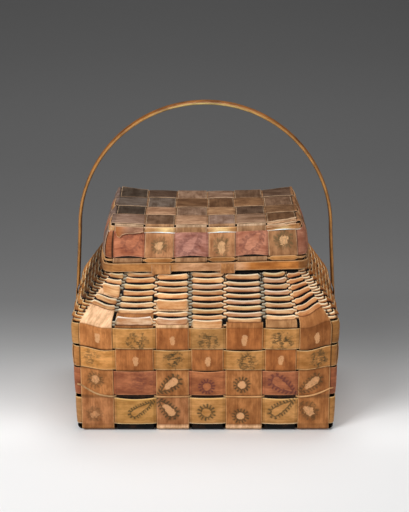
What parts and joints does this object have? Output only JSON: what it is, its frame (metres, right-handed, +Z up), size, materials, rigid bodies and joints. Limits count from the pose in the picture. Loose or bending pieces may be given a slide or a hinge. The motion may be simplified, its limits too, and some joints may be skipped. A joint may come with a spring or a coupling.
{
  "type": "lidded basket",
  "caption": "Plaited wood-splint basket with a rectangular body, a slanting shoulder, a box-shaped lift-off lid and a tall fixed hoop handle, for storing and carrying household goods.",
  "frame": {"origin": "middle of the underside, on the surface that the basket stands on", "axes": "+Z up, +X to the right seen from the front, and the front faces -Y"},
  "size_m": [0.3956, 0.252, 0.4692],
  "materials": {
    "tan_stake_splint": "bare hand-split wood, aged tan, satin",
    "yellow_splint": "yellow-stained split wood, satin, with stamped dark motifs",
    "red_splint": "faded red-stained split wood, satin, with stamped dark motifs",
    "undyed_splint": "undyed narrow split wood, light tan, satin",
    "dark_lid_splint": "worn dark split wood, matte to satin",
    "hoop_wood": "shaved wood, honey brown, satin",
    "handle_wood": "bent wood polished by use, brown with dark edges"
  },
  "bodies": {
    "basket": {"front_back_stake_1": "tan_stake_splint", "front_back_stake_2": "tan_stake_splint", "front_back_stake_3": "tan_stake_splint", "front_back_stake_4": "tan_stake_splint", "front_back_stake_5": "tan_stake_splint", "front_back_stake_6": "tan_stake_splint", "front_back_stake_7": "tan_stake_splint", "side_stake_1": "tan_stake_splint", "side_stake_2": "tan_stake_splint", "side_stake_3": "tan_stake_splint", "side_stake_4": "tan_stake_splint", "side_stake_5": "tan_stake_splint", "bottom_yellow_weft": "yellow_splint", "binder_weft": "tan_stake_splint", "red_weft": "red_splint", "lower_narrow_weft": "yellow_splint", "upper_narrow_weft": "yellow_splint", "shoulder_weft_01": "undyed_splint", "shoulder_weft_02": "undyed_splint", "shoulder_weft_03": "undyed_splint", "shoulder_weft_04": "undyed_splint", "shoulder_weft_05": "undyed_splint", "shoulder_weft_06": "undyed_splint", "shoulder_weft_07": "undyed_splint", "shoulder_weft_08": "undyed_splint", "shoulder_weft_09": "undyed_splint", "shoulder_weft_10": "undyed_splint", "shoulder_weft_11": "undyed_splint", "shoulder_weft_12": "undyed_splint", "shoulder_weft_13": "undyed_splint", "shoulder_weft_14": "undyed_splint", "shoulder_weft_15": "undyed_splint", "shoulder_weft_16": "undyed_splint", "shoulder_weft_17": "undyed_splint", "shoulder_weft_18": "undyed_splint", "neck_outer_hoop": "hoop_wood", "neck_inner_hoop": "hoop_wood", "handle": "handle_wood"},
    "lid": {"lid_front_back_splint_1": "dark_lid_splint", "lid_front_back_splint_2": "dark_lid_splint", "lid_front_back_splint_3": "dark_lid_splint", "lid_front_back_splint_4": "dark_lid_splint", "lid_front_back_splint_5": "dark_lid_splint", "lid_front_back_splint_6": "dark_lid_splint", "lid_side_splint_1": "dark_lid_splint", "lid_side_splint_2": "dark_lid_splint", "lid_side_splint_3": "dark_lid_splint", "lid_side_splint_4": "dark_lid_splint", "lid_edge_weft": "yellow_splint", "lid_red_weft": "red_splint", "lid_lower_weft": "yellow_splint", "lid_rim_outer_hoop": "hoop_wood", "lid_rim_inner_hoop": "hoop_wood"}
  },
  "joints": [
    {"name": "lid_lift", "type": "slide", "parent": "basket", "child": "lid", "axis": [0, 0, 1], "range_m": [0, 0.085]}
  ]
}
